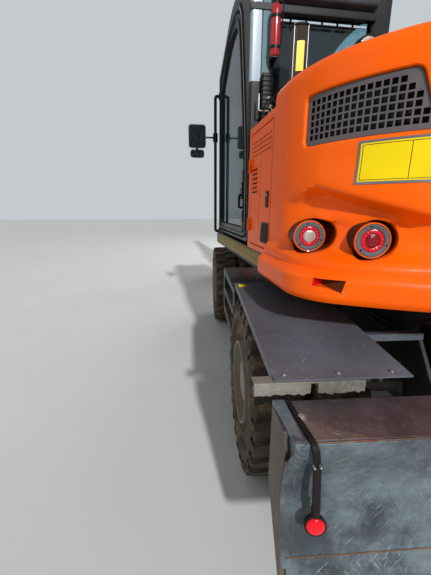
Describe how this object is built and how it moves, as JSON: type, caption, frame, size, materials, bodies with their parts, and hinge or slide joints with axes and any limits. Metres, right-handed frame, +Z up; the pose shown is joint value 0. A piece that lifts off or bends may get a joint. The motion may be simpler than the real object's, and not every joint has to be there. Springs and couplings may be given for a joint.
{
  "type": "wheeled excavator",
  "caption": "Wheeled excavator with mono boom, arm and bucket, rear dozer blade, twin tyres, cab and doors, all on working joints.",
  "frame": {"origin": "on the ground under the middle of the machine's box at rest, on the undercarriage's centre plane", "axes": "+X to the machine's right, +Y towards the steered axle and the bucket, +Z up"},
  "size_m": [3.0826, 7.3555, 4.0818],
  "materials": {
    "orange_paint": "gloss orange-red paint, dusty",
    "dark_paint": "dark grey satin paint",
    "cab_paint": "black satin paint",
    "hood_paint": "black satin paint",
    "guard_plate": "black paint, dusty",
    "rail_paint": "black paint",
    "rim_paint": "light grey paint, muddy",
    "steel": "bare steel",
    "engine": "cast iron",
    "blade_steel": "worn grey steel with rust along the edges",
    "bucket_steel": "worn dark paint, bare at the floor",
    "chrome": "hard chrome",
    "grille": "grey plate with square holes",
    "lamp_red": "red lens",
    "tyre": "muddy rubber",
    "glass": "tinted safety glass",
    "seat_fabric": "dark woven fabric",
    "plastic": "moulded black plastic",
    "clear_plastic": "amber clear reservoir"
  },
  "bodies": {
    "undercarriage": {"chassis_frame": "dark_paint", "blade_brackets": "dark_paint", "tie_down_eyes": "dark_paint", "slewing_ring": "steel", "rear_axle_beam": "dark_paint", "front_axle_beam": "dark_paint", "driveline": "dark_paint", "rear_mudguards": "guard_plate", "side_steps": "dark_paint"},
    "knuckle_left": {"knuckle_left": "dark_paint"},
    "knuckle_right": {"knuckle_right": "dark_paint"},
    "steering_rod": {"steering_rod": "chrome"},
    "wheel_rear_left": {"rims_rear_left": "rim_paint", "tyres_rear_left": "tyre"},
    "wheel_rear_right": {"rims_rear_right": "rim_paint", "tyres_rear_right": "tyre"},
    "wheel_front_left": {"rims_front_left": "rim_paint", "tyres_front_left": "tyre"},
    "wheel_front_right": {"rims_front_right": "rim_paint", "tyres_front_right": "tyre"},
    "blade_arms": {"blade_arms": "dark_paint"},
    "blade": {"blade": "blade_steel"},
    "blade_links": {"blade_links": "dark_paint"},
    "blade_barrels": {"blade_barrels": "dark_paint"},
    "blade_rods": {"blade_rods": "chrome"},
    "upper": {"upper_frame": "dark_paint", "counterweight": "orange_paint", "tail_grilles": "grille", "tail_lamps": "lamp_red", "engine_block": "engine", "rear_bodywork": "orange_paint", "tank_body": "orange_paint", "cab_shell": "cab_paint", "cab_glass": "glass", "seat": "seat_fabric", "controls": "plastic", "handrails": "rail_paint", "mirrors": "plastic", "work_lamps": "plastic", "lubricator": "clear_plastic", "exhaust": "steel"},
    "side_door_left": {"side_door_left": "orange_paint"},
    "side_door_right": {"side_door_right": "orange_paint"},
    "engine_hood": {"engine_hood": "hood_paint"},
    "cab_door": {"cab_door": "cab_paint", "door_glass": "glass"},
    "boom": {"boom": "orange_paint"},
    "boom_barrels": {"boom_barrels": "dark_paint"},
    "boom_rods": {"boom_rods": "chrome"},
    "arm_barrel": {"arm_barrel": "dark_paint"},
    "arm_rod": {"arm_rod": "chrome"},
    "arm": {"arm": "orange_paint"},
    "bucket_barrel": {"bucket_barrel": "dark_paint"},
    "bucket_rod": {"bucket_rod": "chrome"},
    "rocker": {"rocker": "orange_paint"},
    "push_link": {"push_link": "orange_paint"},
    "bucket": {"bucket": "bucket_steel"}
  },
  "joints": [
    {"name": "swing", "type": "hinge", "parent": "undercarriage", "child": "upper", "pos_m": [0, -1.27751, 1.147], "axis": [0, 0, 1], "continuous": true},
    {"name": "boom_lift", "type": "hinge", "parent": "upper", "child": "boom", "pos_m": [0.09651, -1.11849, 1.9], "axis": [0.9962, 0.0872, 0], "range_deg": [-27, 42]},
    {"name": "arm_fold", "type": "hinge", "parent": "boom", "child": "arm", "pos_m": [-0.28543, 3.2471, 3.29849], "axis": [-0.9962, -0.0872, 0], "range_deg": [-72, 24]},
    {"name": "bucket_curl", "type": "hinge", "parent": "arm", "child": "bucket", "pos_m": [-0.26644, 3.03003, 0.808], "axis": [-0.9962, -0.0872, 0], "range_deg": [-62, 62]},
    {"name": "boom_ram_barrel_swivel", "type": "hinge", "parent": "upper", "child": "boom_barrels", "pos_m": [0.03114, -0.37135, 1.406], "axis": [0.9962, 0.0872, 0], "range_deg": [-25.07, 38.96]},
    {"name": "boom_ram_rod_slide", "type": "slide", "parent": "boom_barrels", "child": "boom_rods", "axis": [-0.039, 0.4457, 0.8943], "range_m": [-0.39404, 0.61222]},
    {"name": "arm_ram_barrel_swivel", "type": "hinge", "parent": "boom", "child": "arm_barrel", "pos_m": [-0.02588, 0.28036, 3.74945], "axis": [0.9962, 0.0872, 0], "range_deg": [-3.03, 1.01]},
    {"name": "arm_ram_rod_slide", "type": "slide", "parent": "arm_barrel", "child": "arm_rod", "axis": [-0.0869, 0.993, 0.0796], "range_m": [-0.7902, 0.26452]},
    {"name": "bucket_ram_barrel_swivel", "type": "hinge", "parent": "arm", "child": "bucket_barrel", "pos_m": [-0.31651, 3.60238, 2.78545], "axis": [0.9962, 0.0872, 0], "range_deg": [-0.2898, 0.2898]},
    {"name": "bucket_ram_rod_slide", "type": "slide", "parent": "bucket_barrel", "child": "bucket_rod", "axis": [0.0066, -0.0757, -0.9971], "range_m": [-0.33619, 0.33619]},
    {"name": "rocker_turn", "type": "hinge", "parent": "arm", "child": "rocker", "pos_m": [-0.27295, 3.10446, 1.20299], "axis": [-0.9962, -0.0872, 0], "range_deg": [-62.12, 62.12]},
    {"name": "push_link_turn", "type": "hinge", "parent": "bucket", "child": "push_link", "pos_m": [-0.29906, 3.40284, 0.74201], "axis": [-0.9962, -0.0872, 0], "range_deg": [-62.12, 62.12]},
    {"name": "blade_lift", "type": "hinge", "parent": "undercarriage", "child": "blade_arms", "pos_m": [0, -3.01405, 0.45927], "axis": [-1, 0, 0], "range_deg": [-74, 0]},
    {"name": "blade_level", "type": "hinge", "parent": "blade_arms", "child": "blade", "pos_m": [0, -3.33351, 0.7], "axis": [-1, 0, 0], "range_deg": [-0.15, 74.15]},
    {"name": "blade_links_turn", "type": "hinge", "parent": "undercarriage", "child": "blade_links", "pos_m": [0, -3.05405, 0.63927], "axis": [-1, 0, 0], "range_deg": [-74.15, 0.15]},
    {"name": "blade_ram_barrel_swivel", "type": "hinge", "parent": "undercarriage", "child": "blade_barrels", "pos_m": [0, -2.92751, 0.94], "axis": [1, 0, 0], "range_deg": [-0.03, 14.2]},
    {"name": "blade_ram_rod_slide", "type": "slide", "parent": "blade_barrels", "child": "blade_rods", "axis": [0, -0.6088, -0.7933], "range_m": [-0.00057, 0.23487]},
    {"name": "steer", "type": "hinge", "parent": "undercarriage", "child": "knuckle_left", "pos_m": [-0.56, 0.00249, 0.525], "axis": [0, 0, 1], "range_deg": [-28, 28]},
    {"name": "steer_right", "type": "hinge", "parent": "undercarriage", "child": "knuckle_right", "pos_m": [0.56, 0.00249, 0.525], "axis": [0, 0, 1], "range_deg": [-28.06, 28.06]},
    {"name": "steering_rod_slide", "type": "slide", "parent": "undercarriage", "child": "steering_rod", "axis": [1, 0, 0], "range_m": [-0.09418, 0.09418]},
    {"name": "wheel_rear_left_roll", "type": "hinge", "parent": "undercarriage", "child": "wheel_rear_left", "pos_m": [-0.979, -2.59751, 0.525], "axis": [1, 0, 0], "continuous": true},
    {"name": "wheel_front_left_roll", "type": "hinge", "parent": "knuckle_left", "child": "wheel_front_left", "pos_m": [-0.979, 0.00249, 0.525], "axis": [1, 0, 0], "continuous": true},
    {"name": "wheel_rear_right_roll", "type": "hinge", "parent": "undercarriage", "child": "wheel_rear_right", "pos_m": [0.979, -2.59751, 0.525], "axis": [1, 0, 0], "continuous": true},
    {"name": "wheel_front_right_roll", "type": "hinge", "parent": "knuckle_right", "child": "wheel_front_right", "pos_m": [0.979, 0.00249, 0.525], "axis": [1, 0, 0], "continuous": true},
    {"name": "cab_door_hinge", "type": "hinge", "parent": "upper", "child": "cab_door", "pos_m": [-1.14371, -2.03407, 2], "axis": [0, 0, 1], "range_deg": [0, 100]},
    {"name": "side_door_left_hinge", "type": "hinge", "parent": "upper", "child": "side_door_left", "pos_m": [-1.12846, -2.2084, 1.65], "axis": [0, 0, -1], "range_deg": [0, 80]},
    {"name": "side_door_right_hinge", "type": "hinge", "parent": "upper", "child": "side_door_right", "pos_m": [1.27297, -1.9983, 1.65], "axis": [0, 0, 1], "range_deg": [0, 80]},
    {"name": "engine_hood_hinge", "type": "hinge", "parent": "upper", "child": "engine_hood", "pos_m": [0.06772, -2.05155, 2.342], "axis": [-0.9962, -0.0872, 0], "range_deg": [0, 55]}
  ],
  "couplings": [
    {"joint": "boom_ram_barrel_swivel", "follows": "boom_lift", "ratio": 0.92566},
    {"joint": "boom_ram_rod_slide", "follows": "boom_lift", "m_per_rad": 0.83338},
    {"joint": "arm_ram_barrel_swivel", "follows": "arm_fold", "ratio": 0.041944},
    {"joint": "arm_ram_rod_slide", "follows": "arm_fold", "m_per_rad": 0.62749},
    {"joint": "bucket_ram_barrel_swivel", "follows": "bucket_curl", "ratio": 0.0046631},
    {"joint": "bucket_ram_rod_slide", "follows": "bucket_curl", "m_per_rad": 0.30997},
    {"joint": "rocker_turn", "follows": "bucket_curl", "ratio": 1},
    {"joint": "push_link_turn", "follows": "bucket_curl", "ratio": -1},
    {"joint": "blade_level", "follows": "blade_lift", "ratio": -1},
    {"joint": "blade_links_turn", "follows": "blade_lift", "ratio": 1},
    {"joint": "blade_ram_barrel_swivel", "follows": "blade_lift", "ratio": -0.19153},
    {"joint": "blade_ram_rod_slide", "follows": "blade_lift", "m_per_rad": -0.18141},
    {"joint": "steer_right", "follows": "steer", "ratio": 1},
    {"joint": "steering_rod_slide", "follows": "steer", "m_per_rad": 0.19213}
  ]
}
